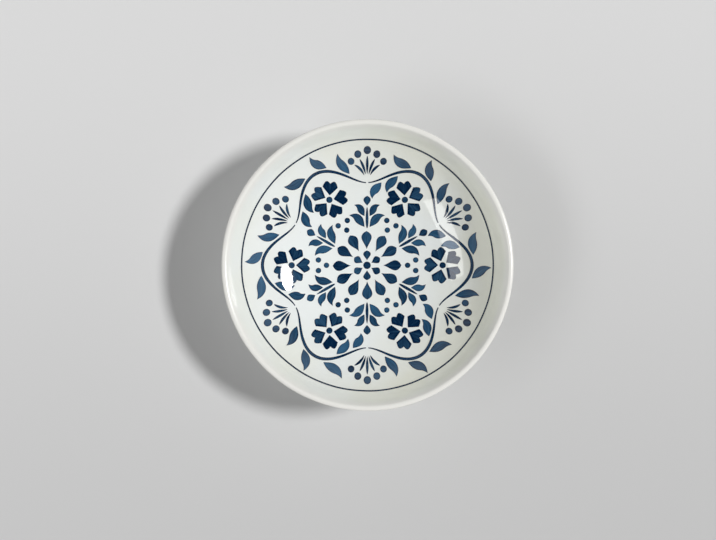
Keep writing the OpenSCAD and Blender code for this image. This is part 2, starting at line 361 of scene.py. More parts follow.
def carry_round(bm, vert, centre, end, way, steps):
    """Carries a vertex round a centre until it points at end, anticlockwise where way is 1."""
    first = math.atan2(vert.co.z - centre.y, vert.co.x - centre.x)
    last = math.atan2(end.y - centre.y, end.x - centre.x)
    angle = way * ((way * (last - first)) % math.tau)
    made = bmesh.ops.spin(
        bm, geom=[vert], cent=(centre.x, 0.0, centre.y), axis=(0.0, -1.0, 0.0), angle=angle, steps=steps,
    )
    return next(item for item in made["geom_last"] if isinstance(item, bmesh.types.BMVert))


def draw_bowl(bm, size, section, skin):
    """Outline of the bowl from the middle of the well, over the lip, to the foot's outer side."""
    low, high = foot_side(size, section, 1, skin)
    corner = meet_wall(section, low, high, section.well_r + size.wall_t / 2 + skin)
    vert = start_at(bm, section.well - Vector((0.0, section.well_r - size.wall_t / 2 - skin)))
    vert = carry_round(bm, vert, section.well, section.bend, 1, WELL_STEPS)
    vert = carry_round(bm, vert, section.side, section.lip, 1, SIDE_STEPS)
    vert = carry_round(bm, vert, section.lip, 2 * section.lip - section.side, -1, LIP_STEPS)
    vert = carry_round(bm, vert, section.side, section.bend, -1, SIDE_STEPS)
    return carry_round(bm, vert, section.well, corner, -1, WELL_STEPS // 3)


def draw_underside(bm, size, section, skin):
    """Outline of the underside from its middle to the foot's inner side."""
    low, high = foot_side(size, section, -1, skin)
    radius = section.well_r + size.wall_t / 2 + skin
    vert = start_at(bm, section.well - Vector((0.0, radius)))
    return carry_round(bm, vert, section.well, meet_wall(section, low, high, radius), 1, WELL_STEPS // 2)


def thicken_lip(bm, size, section):
    """Swells the wall towards the lip by the lip's bead, which fades out down the wall."""
    for vert in bm.verts:
        point = Vector((vert.co.x, vert.co.z))
        from_lip = (point - section.lip).length
        fade = min(1.0, max(0.0, 1 - (from_lip - size.wall_t / 2) / size.lip_fade))
        ray = point - section.side
        rim = section.lip - section.side
        beyond = math.atan2(ray.x, -ray.y) > math.atan2(rim.x, -rim.y)
        middle = section.lip if beyond else section.side + ray.normalized() * section.side_r
        swell = (point - middle).normalized() * (size.lip_bead / 2 * fade * fade * (3 - 2 * fade))
        vert.co += Vector((swell.x, 0.0, swell.y))


def soften(bm, verts, offset, segments):
    """Rounds corners of an outline."""
    bmesh.ops.bevel(
        bm, geom=verts, offset=offset, offset_type="OFFSET", affect="VERTICES",
        segments=segments, profile=0.5, material=-1, clamp_overlap=True,
    )


def turn_round(bm):
    """Turns the outline once about the plate's axis into a closed shape."""
    bmesh.ops.spin(
        bm, geom=bm.verts[:] + bm.edges[:], cent=(0.0, 0.0, 0.0), axis=(0.0, 0.0, 1.0),
        angle=math.tau, steps=ROUND_STEPS, use_merge=True,
    )
    bmesh.ops.remove_doubles(bm, verts=bm.verts, dist=WELD)
    bmesh.ops.recalc_face_normals(bm, faces=bm.faces)
    for face in bm.faces:
        face.smooth = True


def put_in_place(bm, node, material):
    """Makes an object of a mesh, which stands for a CAD node and rides on the plate's body."""
    mesh = bpy.data.meshes.new(node)
    bm.to_mesh(mesh)
    bm.free()
    mesh.materials.append(material)
    piece = bpy.data.objects.new(node + "_dressed", mesh)
    bpy.context.collection.objects.link(piece)
    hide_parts(node)
    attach(piece, BODY)


# Brushwork

def polar(radius, angle):
    """Point at a distance and an angle in degrees from the axis."""
    return Vector((radius * math.cos(math.radians(angle)), radius * math.sin(math.radians(angle))))


def wander(seed):
    """A small repeatable wander between -1 and 1, as a hand's."""
    return math.sin(math.radians(WANDER_TURN * seed))


def design(size, paint):
    """Radii of the painted design, worked out from the middle outwards, and its fit inside the line."""
    inner_petal_r = paint.rosette_eye_d / 2 + paint.paint_gap
    outer_petal_r = inner_petal_r + paint.inner_petal_l + paint.paint_gap
    rosette_r = outer_petal_r + paint.outer_petal_l
    sprig_r = rosette_r + paint.sprig_gap
    bud_r = sprig_r + paint.sprig_l + paint.paint_gap
    vine_r = bud_r + paint.bud_l + paint.bud_gap + paint.vine_swing
    crest_r = vine_r + paint.vine_swing
    petal_start = paint.eye_d / 2 + paint.paint_gap
    field_r = size.rim_d / 2 - paint.line_inset
    return SimpleNamespace(
        inner_petal_r=inner_petal_r,
        outer_petal_r=outer_petal_r,
        rosette_r=rosette_r,
        sprig_r=sprig_r,
        bud_r=bud_r,
        vine_r=vine_r,
        petal_start=petal_start,
        blossom_r=crest_r - paint.vine_w / 2 - paint.blossom_gap - petal_start - paint.petal_l,
        spray_r=vine_r - paint.vine_swing + paint.spray_gap,
        field_r=field_r,
        fit=field_r / (vine_r + paint.vine_margin),
        wave=360 / paint.waves,
    )


def vine_at(paint, plan, angle):
    """Point on the middle of the wreath's stem."""
    return polar(plan.vine_r + paint.vine_swing * math.cos(math.radians(paint.waves * angle)), angle)


def vine_way(paint, plan, angle):
    """The way that the stem runs at an angle round the plate, in degrees."""
    phase = math.radians(paint.waves * angle)
    run = plan.vine_r + paint.vine_swing * math.cos(phase)
    swing = -paint.waves * paint.vine_swing * math.sin(phase)
    return angle + 90 - math.degrees(math.atan2(swing, run))


class Brush:
    """Lays strokes of paint on the glazed inside of the bowl, into one mesh."""

    def __init__(self, context):
        self.size = context.scene.plate_sizes
        self.paint = context.scene.paint_sizes
        self.section = plate_section(self.size)
        self.plan = design(self.size, self.paint)
        self.bm = bmesh.new()
        self.edge = self.bm.verts.layers.float.new("from_edge")
        self.tone = self.bm.verts.layers.float.new("tone")
        self.grain = self.bm.verts.layers.float_vector.new("grain")
        self.strokes = 0

    def touch(self, vert, point, from_edge, tone, along, across):
        """Puts a vertex on the bowl above a plan point, and notes how the paint lies there."""
        inside = self.section.glaze_face + self.paint.paint_t
        vert.co = (point.x, point.y, layer_z(self.section, point.length, inside))
        vert[self.edge] = from_edge
        vert[self.tone] = tone
        vert[self.grain] = (along, across, float(self.strokes))

    def loaded(self, tone):
        """A motif's tone, with the wander of the stroke that comes next."""
        return tone + TONE_WANDER * wander(3 * self.strokes + 1)

    def sheet(self, steps, bristles):
        """Vertices of a new grid, each with its share along it and its share across, from -1 to 1."""
        made = bmesh.ops.create_grid(self.bm, x_segments=steps, y_segments=bristles, size=1.0)
        self.strokes += 1
        return [(vert, (vert.co.x + 1) / 2, vert.co.y) for vert in made["verts"]]

    def place(self, point, at, angle):
        """Plan point of a point on a stroke that starts at a place and runs at an angle."""
        turned = polar(point.x, angle) + polar(point.y, angle + 90)
        return (at + turned) * self.plan.fit

    def stroke(self, long, wide, brush, at, angle, tone, bow=0.0, swerve=0.0):
        """One press of the brush: its middle bows to one side and may swerve like an S."""
        tone = self.loaded(tone)
        for vert, along, across in self.sheet(STROKE_STEPS, BRISTLES):
            belly = max(0.0, math.sin(math.pi * along ** brush[0])) ** brush[1]
            half = wide / 2 * belly
            slope = (4 * bow * (1 - 2 * along) + math.tau * swerve * math.cos(math.tau * along)) / long
            normal = Vector((-slope, 1.0)).normalized()
            aside = 4 * bow * along * (1 - along) + swerve * math.sin(math.tau * along)
            middle = Vector((long * along, aside))
            point = self.place(middle + normal * (half * across), at, angle)
            inside = (1 - abs(across)) * half
            self.touch(vert, point, inside, tone, long * along, half * across)

    def petal(self, long, wide, notch, shoulder, at, angle, tone):
        """A notched petal: a point at its foot, and an outer edge of two round lobes."""
        tone = self.loaded(tone)
        for vert, along, across in self.sheet(STROKE_STEPS // 2, 2 * BRISTLES):
            lobe = 2 * abs(across) - 1
            reach = long * (1 - (notch if lobe < 0 else shoulder) * lobe * lobe)
            point = self.place(Vector((reach, wide / 2 * across)) * along, at, angle)
            inside = min((1 - abs(across)) * wide / 2 * along, (1 - along) * reach)
            self.touch(vert, point, inside, tone, reach * along, wide / 2 * across * along)

    def dot(self, wide, at, tone):
        """A round touch of the brush's tip."""
        tone = self.loaded(tone)
        made = bmesh.ops.create_circle(self.bm, cap_ends=True, segments=DOT_STEPS, radius=1.0)
        face = made["verts"][0].link_faces[0]
        rings = list(made["verts"])
        for _ in range(DOT_RINGS):
            bmesh.ops.inset_individual(self.bm, faces=[face], thickness=DOT_INSET)
            rings += face.verts[:]
        self.strokes += 1
        for vert in rings:
            out = Vector((vert.co.x, vert.co.y))
            share = out.length
            inside = (1 - share) * wide / 2
            out *= wide / 2
            self.touch(vert, (at + out) * self.plan.fit, inside, tone, out.x, out.y)

    def finish(self, node):
        """Gives the strokes their thickness, down to the glaze, and puts them in place."""
        bm = self.bm
        bmesh.ops.remove_doubles(bm, verts=bm.verts, dist=STROKE_WELD)
        tops = bm.faces[:]
        made = bmesh.ops.extrude_face_region(bm, geom=tops, use_keep_orig=True)
        for item in made["geom"]:
            if isinstance(item, bmesh.types.BMVert):
                item.co.z = layer_z(self.section, item.co.xy.length, self.section.glaze_face)
        bmesh.ops.recalc_face_normals(bm, faces=bm.faces)
        for face in tops:
            face.smooth = True
        for edge in bm.edges:
            edge.smooth = all(face.smooth for face in edge.link_faces)
        put_in_place(bm, node, finish_of("cobalt_brushwork"))


# Finishes

def add_node(tree, kind, settings=(), values=(), links=()):
    """Adds a shader node, with its settings, the values of its sockets and the links to them."""
    node = tree.nodes.new(kind)
    for key, value in dict(settings).items():
        setattr(node, key, value)
    for key, value in dict(values).items():
        node.inputs[key].default_value = value
    for key, source in dict(links).items():
        tree.links.new(source, node.inputs[key])
    return node


def empty_tree(name):
    """A new material without nodes, and its node tree."""
    material = bpy.data.materials.new(name)
    material.use_nodes = True
    tree = material.node_tree
    tree.nodes.clear()
    return material, tree


def glazed_porcelain(finish):
    """Porcelain under a clear glossy glaze: a faint cool white that drifts warmer up the wall, where it runs
    thin, and far warmer on the +X side, as painted warm shade on that wall; paler and less glossy over the
    lip where the glaze runs thin, a few iron specks, and a surface that isn't quite even."""
    material, tree = empty_tree("glazed_porcelain")
    place = add_node(tree, "ShaderNodeTexCoord").outputs["Object"]
    split = add_node(tree, "ShaderNodeSeparateXYZ", links={0: place})
    height = split.outputs["Z"]
    cloud = add_node(tree, "ShaderNodeTexNoise", values={"Scale": 1 / CLOUD_SIZE}, links={"Vector": place})
    # Painted shade: the wall's warm drift is strongest on the +X side, whose wall faces away from the key
    # light and lies in shade
    shade_side_tint = add_node(
        tree, "ShaderNodeMapRange", {"interpolation_type": "SMOOTHSTEP"},
        {"From Min": -SHADE_TINT_FADE, "From Max": SHADE_TINT_FADE, "To Min": 0.3}, {"Value": split.outputs["X"]},
    )
    up_wall_and_shade_side = add_node(
        tree, "ShaderNodeMapRange", values={"From Min": WALL_LOW, "From Max": WALL_HIGH},
        links={"Value": height, "To Max": shade_side_tint.outputs[0]},
    )
    drift = add_node(
        tree, "ShaderNodeMapRange", values={"From Min": 0.3, "From Max": 0.7, "To Min": -0.3, "To Max": 0.3},
        links={"Value": cloud.outputs[0]},
    )
    drift = add_node(
        tree, "ShaderNodeMath", {"operation": "ADD", "use_clamp": True},
        links={0: drift.outputs[0], 1: up_wall_and_shade_side.outputs[0]},
    )
    white = add_node(
        tree, "ShaderNodeMix", {"data_type": "RGBA"},
        {6: tuple(finish.glaze_cool), 7: tuple(finish.glaze_warm_and_shade)}, {0: drift.outputs[0]},
    )
    near_lip = add_node(
        tree, "ShaderNodeMapRange", values={"From Min": LIP_LOW, "From Max": LIP_HIGH},
        links={"Value": height},
    )
    white = add_node(
        tree, "ShaderNodeMix", {"data_type": "RGBA"},
        {7: tuple(finish.glaze_lip)}, {0: near_lip.outputs[0], 6: white.outputs[2]},
    )
    iron = add_node(
        tree, "ShaderNodeTexVoronoi", values={"Scale": 1 / SPECK_SPACING}, links={"Vector": place},
    )
    speck = add_node(
        tree, "ShaderNodeMapRange",
        values={"From Min": 0.012, "From Max": 0.02, "To Min": 0.6, "To Max": 0.0},
        links={"Value": iron.outputs["Distance"]},
    )
    white = add_node(
        tree, "ShaderNodeMix", {"data_type": "RGBA"},
        {7: tuple(finish.speck)}, {0: speck.outputs[0], 6: white.outputs[2]},
    )
    gloss = add_node(tree, "ShaderNodeTexNoise", values={"Scale": 1 / GLOSS_SIZE}, links={"Vector": place})
    polish = add_node(
        tree, "ShaderNodeMapRange",
        values={"From Min": 0.3, "From Max": 0.7, "To Min": 0.02, "To Max": 0.04},
        links={"Value": gloss.outputs[0]},
    )
    polish = add_node(
        tree, "ShaderNodeMath", {"operation": "MULTIPLY_ADD"}, {1: 0.2},
        {0: near_lip.outputs[0], 2: polish.outputs[0]},
    )
    flow = add_node(
        tree, "ShaderNodeTexNoise", values={"Scale": 1 / FLOW_SIZE, "Detail": 1.0}, links={"Vector": place},
    )
    bump = add_node(
        tree, "ShaderNodeBump", values={"Strength": 0.35, "Distance": FLOW_DEEP},
        links={"Height": flow.outputs[0]},
    )
    shader = add_node(
        tree, "ShaderNodeBsdfPrincipled", values={"IOR": 1.52},
        links={"Base Color": white.outputs[2], "Roughness": polish.outputs[0], "Normal": bump.outputs[0]},
    )
    add_node(tree, "ShaderNodeOutputMaterial", links={"Surface": shader.outputs[0]})
    return material


def bare_porcelain(finish):
    """Unglazed porcelain, ground flat: matte and cream, with a grit drawn twice as coarse as real so that
    it shows, and scuffed grey where it has stood."""
    material, tree = empty_tree("bare_porcelain")
    place = add_node(tree, "ShaderNodeTexCoord").outputs["Object"]
    height = add_node(tree, "ShaderNodeSeparateXYZ", links={0: place}).outputs["Z"]
    rubs = add_node(tree, "ShaderNodeTexNoise", values={"Scale": 1 / RUB_SIZE}, links={"Vector": place})
    worn = add_node(
        tree, "ShaderNodeMapRange",
        values={"From Min": 0.45, "From Max": 0.75, "To Max": 0.8}, links={"Value": rubs.outputs[0]},
    )
    low = add_node(
        tree, "ShaderNodeMapRange",
        values={"From Max": SCUFF_TOP, "To Min": 1.0, "To Max": 0.0}, links={"Value": height},
    )
    scuff = add_node(
        tree, "ShaderNodeMath", {"operation": "MULTIPLY"}, links={0: worn.outputs[0], 1: low.outputs[0]},
    )
    clay = add_node(
        tree, "ShaderNodeMix", {"data_type": "RGBA"},
        {6: tuple(finish.bare_clay), 7: tuple(finish.bare_scuff)}, {0: scuff.outputs[0]},
    )
    grit = add_node(
        tree, "ShaderNodeTexNoise", values={"Scale": 1 / GRIT_SIZE, "Detail": 3.0}, links={"Vector": place},
    )
    matte = add_node(
        tree, "ShaderNodeMapRange",
        values={"From Min": 0.2, "From Max": 0.8, "To Min": 0.6, "To Max": 0.85},
        links={"Value": grit.outputs[0]},
    )
    bump = add_node(
        tree, "ShaderNodeBump", values={"Strength": 0.5, "Distance": GRIT_DEEP},
        links={"Height": grit.outputs[0]},
    )
    shader = add_node(
        tree, "ShaderNodeBsdfPrincipled", values={"IOR": 1.5},
        links={"Base Color": clay.outputs[2], "Roughness": matte.outputs[0], "Normal": bump.outputs[0]},
    )
    add_node(tree, "ShaderNodeOutputMaterial", links={"Surface": shader.outputs[0]})
    return material


def cobalt_brushwork(finish):
    """Cobalt painted by brush under the gloss: a wash with streaks along the stroke, which dried darker
    along its edge. The edge and the streaks are about twice as coarse as real ones, so that they show."""
    material, tree = empty_tree("cobalt_brushwork")
    edge = add_node(tree, "ShaderNodeAttribute", {"attribute_name": "from_edge"}).outputs["Fac"]
    tone = add_node(tree, "ShaderNodeAttribute", {"attribute_name": "tone"}).outputs["Fac"]
    grain = add_node(tree, "ShaderNodeAttribute", {"attribute_name": "grain"}).outputs["Vector"]
    along = add_node(
        tree, "ShaderNodeVectorMath", {"operation": "MULTIPLY"},
        {1: (1 / STREAK_LONG, 1 / STREAK_WIDE, 7.3)}, {0: grain},
    )
    streaks = add_node(
        tree, "ShaderNodeTexNoise", values={"Scale": 1.0, "Detail": 3.0, "Roughness": 0.6},
        links={"Vector": along.outputs[0]},
    )
    bristles = add_node(
        tree, "ShaderNodeMapRange",
        values={"From Min": 0.2, "From Max": 0.8, "To Min": -0.35, "To Max": 0.35},
        links={"Value": streaks.outputs[0]},
    )
    pool = add_node(
        tree, "ShaderNodeMapRange",
        values={"From Min": POOL_RIM, "From Max": POOL_WIDE, "To Min": 0.55, "To Max": 0.0},
        links={"Value": edge},
    )
    load = add_node(tree, "ShaderNodeMath", {"operation": "ADD"}, links={0: tone, 1: bristles.outputs[0]})
    load = add_node(
        tree, "ShaderNodeMath", {"operation": "ADD", "use_clamp": True},
        links={0: load.outputs[0], 1: pool.outputs[0]},
    )
    blue = add_node(
        tree, "ShaderNodeMix", {"data_type": "RGBA"},
        {6: tuple(finish.paint_wash), 7: tuple(finish.paint_deep)}, {0: load.outputs[0]},
    )
    polish = add_node(
        tree, "ShaderNodeMapRange",
        values={"From Min": 0.2, "From Max": 0.8, "To Min": 0.025, "To Max": 0.045},
        links={"Value": streaks.outputs[0]},
    )
    shader = add_node(
        tree, "ShaderNodeBsdfPrincipled", values={"IOR": 1.52},
        links={"Base Color": blue.outputs[2], "Roughness": polish.outputs[0]},
    )
    add_node(tree, "ShaderNodeOutputMaterial", links={"Surface": shader.outputs[0]})
    return material


def studio_floor(finish):
    """Plain, pale and matte paper, a little darker towards the front."""
    material, tree = empty_tree("studio_floor")
    place = add_node(tree, "ShaderNodeTexCoord").outputs["Object"]
    back = add_node(tree, "ShaderNodeSeparateXYZ", links={0: place}).outputs["Y"]
    fade = add_node(
        tree, "ShaderNodeMapRange", {"interpolation_type": "SMOOTHSTEP"},
        {"From Min": -FLOOR_FADE, "From Max": FLOOR_FADE}, {"Value": back},
    )
    paper = add_node(
        tree, "ShaderNodeMix", {"data_type": "RGBA"},
        {6: tuple(finish.floor_front), 7: tuple(finish.floor_back)}, {0: fade.outputs[0]},
    )
    shader = add_node(
        tree, "ShaderNodeBsdfPrincipled", values={"Roughness": 0.9, "Specular IOR Level": 0.2},
        links={"Base Color": paper.outputs[2]},
    )
    add_node(tree, "ShaderNodeOutputMaterial", links={"Surface": shader.outputs[0]})
    return material


FINISHES = {
    "glazed_porcelain": glazed_porcelain,
    "bare_porcelain": bare_porcelain,
    "cobalt_brushwork": cobalt_brushwork,
    "studio_floor": studio_floor,
}


def finish_of(name):
    """The finish of that name, made when it is first asked for."""
    return bpy.data.materials.get(name) or FINISHES[name](bpy.context.scene.plate_finishes)


# Operators

class SOUP_PLATE_OT_porcelain_body(bpy.types.Operator):
    """Make the porcelain body, of which only the foot's resting band is bare"""

    bl_idname = "soup_plate.porcelain_body"
    bl_label = "Porcelain Body"

    def execute(self, context):
        size = context.scene.plate_sizes
        section = plate_section(size)
        bm = bmesh.new()
        vert = draw_bowl(bm, size, section, 0.0)
        out_low, _ = foot_side(size, section, 1, 0.0)
        in_low, in_high = foot_side(size, section, -1, 0.0)
        edges = []
        for point in (
            out_low,
            Vector((out_low.x - size.foot_edge, 0.0)),
            Vector((in_low.x + size.foot_edge, 0.0)),
            in_low,
        ):
            vert = draw_to(bm, vert, point)
            edges.append(vert)
        under_r = section.well_r + size.wall_t / 2
        vert = draw_to(bm, vert, meet_wall(section, in_low, in_high, under_r))
        middle = section.well - Vector((0.0, under_r))
        carry_round(bm, vert, section.well, middle, -1, WELL_STEPS // 2)
        thicken_lip(bm, size, section)
        soften(bm, edges, size.foot_edge / 2, EDGE_SEGMENTS)
        turn_round(bm)
        put_in_place(bm, "porcelain_body", finish_of("bare_porcelain"))
        return {"FINISHED"}


def glaze_skin(context, draw, side, node):
    """A skin of glaze on the bowl or on the underside, which ends in a soft roll on the foot's side."""
    size = context.scene.plate_sizes
    section = plate_section(size)
    bm = bmesh.new()
    corner = draw(bm, size, section, size.glaze_t)
    roll = draw_to(bm, corner, side_at(*foot_side(size, section, side, size.glaze_t), size.bare_h))
    under = draw(bm, size, section, 0.0)
    seat = draw_to(bm, under, side_at(*foot_side(size, section, side, 0.0), size.bare_h))
    bm.edges.new((roll, seat))
    thicken_lip(bm, size, section)
    soften(bm, [roll], size.glaze_roll, EDGE_SEGMENTS)
    soften(bm, [corner], size.foot_pool, POOL_SEGMENTS)
    turn_round(bm)
    put_in_place(bm, node, finish_of("glazed_porcelain"))


class SOUP_PLATE_OT_glaze_coat(bpy.types.Operator):
    """Make the glaze over the bowl, the lip and the outside, down to the bare foot"""

    bl_idname = "soup_plate.glaze_coat"
    bl_label = "Glaze Coat"

    def execute(self, context):
        glaze_skin(context, draw_bowl, 1, "glaze_coat")
        return {"FINISHED"}


class SOUP_PLATE_OT_base_glaze(bpy.types.Operator):
    """Make the glaze on the underside, inside the foot"""

    bl_idname = "soup_plate.base_glaze"
    bl_label = "Base Glaze"

    def execute(self, context):
        glaze_skin(context, draw_underside, -1, "base_glaze")
        return {"FINISHED"}


class SOUP_PLATE_OT_edge_line(bpy.types.Operator):
    """Paint the thin line round the bowl"""

    bl_idname = "soup_plate.edge_line"
    bl_label = "Edge Line"

    def execute(self, context):
        brush = Brush(context)
        half = brush.paint.line_w / 2
        middle_r = brush.plan.field_r + half
        for vert, along, across in brush.sheet(LINE_STEPS, BRISTLES):
            angle = 360 * along
            wobble = LINE_WOBBLE * half * wander(angle / LINE_DRAW) * math.sin(math.tau * along * LINE_WAVES)
            point = polar(middle_r + half * across + wobble, angle)
            inside = (1 - abs(across)) * half
            run = middle_r * math.radians(angle)
            brush.touch(vert, point, inside, TONE_LINE, run, half * across)
        brush.finish("edge_line")
        return {"FINISHED"}


class SOUP_PLATE_OT_vine(bpy.types.Operator):
    """Paint the wreath's stem and its leaves"""

    bl_idname = "soup_plate.vine"
    bl_label = "Vine"

    stem_break: turn("Stem break", "Angle left bare at each end of a wave", 0.8)
    stem_tip: FloatProperty(name="Stem tip", description="Width of the stem's ends as a share", default=0.3)
    lean_wander: turn("Lean wander", "How far a leaf's lean wanders", 2.5)
    length_wander: FloatProperty(
        name="Length wander", description="How far a leaf's length wanders, as a share", default=0.05,
    )

    def execute(self, context):
        self.paint_stems(Brush(context))
        self.paint_leaves(Brush(context))
        return {"FINISHED"}

    def paint_stems(self, brush):
        """One long stroke for each wave, from trough to trough."""
        paint, plan = brush.paint, brush.plan
        for i in range(paint.waves):
            for vert, along, across in brush.sheet(VINE_STEPS, BRISTLES):
                angle = plan.wave * i + (along - 0.5) * (plan.wave - 2 * math.degrees(self.stem_break))
                half = paint.vine_w / 2 * (self.stem_tip + (1 - self.stem_tip) * math.sin(math.pi * along))
                side = polar(half * across, vine_way(paint, plan, angle) + 90)
                point = (vine_at(paint, plan, angle) + side) * plan.fit
                inside = (1 - abs(across)) * half
                run = plan.vine_r * math.radians(plan.wave) * along
                brush.touch(vert, point, inside, TONE_STEM, run, half * across)
        brush.finish("vine_stems")

    def paint_leaves(self, brush):
        """Leaves on both sides of the stem, which all lean the way that it grows."""
        paint, plan = brush.paint, brush.plan
        for i in range(paint.waves):
            for j, (share, side, long_mm, lean) in enumerate(VINE_LEAVES):
                seed = i * len(VINE_LEAVES) + j
                angle = plan.wave * (i + share)
                way = vine_way(paint, plan, angle)
                off = side * (paint.vine_w / 2 + paint.leaf_gap)
                base = vine_at(paint, plan, angle) - polar(off, way + 90)
                long = long_mm * MM * (1 + self.length_wander * wander(2 * seed + 1))
                lean += math.degrees(self.lean_wander) * wander(seed)
                brush.stroke(
                    long, paint.leaf_w, LEAF_BRUSH, base, way - side * lean, TONE_LEAF,
                    side * paint.leaf_bow, -side * paint.leaf_swerve,
                )
        brush.finish("vine_leaves")


class SOUP_PLATE_OT_blossoms(bpy.types.Operator):
    """Paint the wreath's blossoms, each of notched petals round an eye"""

    bl_idname = "soup_plate.blossoms"
    bl_label = "Blossoms"

    petals: IntProperty(name="Petals", description="Petals of a blossom", default=5, min=3)
    notch: FloatProperty(name="Notch", description="Depth of a petal's notch as a share", default=0.18)
    shoulder: FloatProperty(name="Shoulder", description="Drop of a petal's corners as a share", default=0.42)
    turn_wander: turn("Turn wander", "How far a petal's direction wanders", 2)

    def execute(self, context):
        petals, eyes = Brush(context), Brush(context)
        paint, plan = petals.paint, petals.plan
        for i in range(paint.waves):
            middle = polar(plan.blossom_r, plan.wave * i)
            for k in range(self.petals):
                angle = plan.wave * i + 360 / self.petals * (k + 0.5)
                angle += math.degrees(self.turn_wander) * wander(k + self.petals * i)
                foot = middle + polar(plan.petal_start, angle)
                petals.petal(paint.petal_l, paint.petal_w, self.notch, self.shoulder, foot, angle, TONE_PETAL)
            eyes.dot(paint.eye_d, middle, TONE_PETAL)
        petals.finish("blossom_petals")
        eyes.finish("blossom_eyes")
        return {"FINISHED"}


class SOUP_PLATE_OT_berry_sprays(bpy.types.Operator):
    """Paint the sprays of berries in the wreath's troughs"""

    bl_idname = "soup_plate.berry_sprays"
    bl_label = "Berry Sprays"

    pairs: IntProperty(name="Pairs", description="Pairs of berries beside the middle one", default=2, min=0)
    shrink: FloatProperty(
        name="Shrink", description="How much smaller each berry is than the last, as a share", default=0.05,
    )

    def execute(self, context):
        stalks, berries = Brush(context), Brush(context)
        paint, plan = stalks.paint, stalks.plan
        for i in range(paint.waves):
            angle = plan.wave * (i + 0.5)
            base = polar(plan.spray_r, angle)
            for k in range(-self.pairs, self.pairs + 1):
                way = angle + math.degrees(paint.berry_fan) * k
                reach = paint.spray_l - paint.berry_drop * abs(k)
                wide = paint.berry_d * (1 - self.shrink * abs(k))
                long = reach - wide / 2 - paint.paint_gap - paint.stalk_start
                foot = base + polar(paint.stalk_start, way)
                stalks.stroke(long, paint.stalk_w, STALK_BRUSH, foot, way, TONE_STEM, -paint.stalk_bow * k)
                berries.dot(wide, base + polar(reach, way), TONE_BERRY)
        stalks.finish("berry_stalks")
        berries.finish("berries")
        return {"FINISHED"}


class SOUP_PLATE_OT_rosette(bpy.types.Operator):
    """Paint the rosette in the middle of the well"""

    bl_idname = "soup_plate.rosette"
    bl_label = "Rosette"

    turn_wander: turn("Turn wander", "How far an outer petal's direction wanders", 1.2)

    def execute(self, context):
        outer, inner, eye = Brush(context), Brush(context), Brush(context)
        paint, plan = outer.paint, outer.plan
        for k in range(2 * paint.waves):
            angle = plan.wave / 2 * k + math.degrees(self.turn_wander) * wander(k)
            foot = polar(plan.outer_petal_r, angle)
            outer.stroke(
                paint.outer_petal_l, paint.outer_petal_w, OUTER_PETAL_BRUSH, foot, angle, TONE_ROSETTE,
            )
        for k in range(paint.waves):
            angle = plan.wave * (k + 0.5)
            foot = polar(plan.inner_petal_r, angle)
            inner.stroke(
                paint.inner_petal_l, paint.inner_petal_w, INNER_PETAL_BRUSH, foot, angle, TONE_ROSETTE,
            )
        eye.dot(paint.rosette_eye_d, Vector((0.0, 0.0)), TONE_ROSETTE)
        outer.finish("rosette_outer_petals")
        inner.finish("rosette_inner_petals")
        eye.finish("rosette_eye")
        return {"FINISHED"}


class SOUP_PLATE_OT_sprigs(bpy.types.Operator):
    """Paint the sprigs between the rosette and the wreath"""

    bl_idname = "soup_plate.sprigs"
    bl_label = "Sprigs"

    def execute(self, context):
        stems, leaves, buds = Brush(context), Brush(context), Brush(context)
        paint, plan = stems.paint, stems.plan
        for i in range(paint.waves):
            angle = plan.wave * (i + 0.5)
            foot = polar(plan.sprig_r, angle)
            stems.stroke(paint.sprig_l, paint.sprig_w, SPRIG_BRUSH, foot, angle, TONE_STEM)
            buds.stroke(paint.bud_l, paint.bud_w, BUD_BRUSH, polar(plan.bud_r, angle), angle, TONE_BERRY)
            for start_mm, long_mm, wide_mm, bow_mm, lean in SPRIG_LEAVES:
                for side in (-1, 1):
                    base = polar(plan.sprig_r + start_mm * MM, angle)
                    base += polar(paint.sprig_w / 2 + paint.paint_gap, angle + 90 * side)
                    leaves.stroke(
                        long_mm * MM, wide_mm * MM, SPRIG_LEAF_BRUSH, base, angle + side * lean, TONE_SPRIG,
                        -side * bow_mm * MM, side * paint.sprig_swerve,
                    )
        stems.finish("sprig_stems")
        leaves.finish("sprig_leaves")
        buds.finish("sprig_buds")
        return {"FINISHED"}


class SOUP_PLATE_OT_scatter_dots(bpy.types.Operator):
    """Paint the dots between the sprigs"""

    bl_idname = "soup_plate.scatter_dots"
    bl_label = "Scatter Dots"

    def execute(self, context):
        brush = Brush(context)
        for i in range(brush.paint.waves):
            for out_mm, aside in SCATTER_DOTS:
                at = polar(brush.plan.rosette_r + out_mm * MM, brush.plan.wave * i + aside)
                brush.dot(brush.paint.dot_d, at, TONE_DOT)
        brush.finish("scatter_dots")
        return {"FINISHED"}


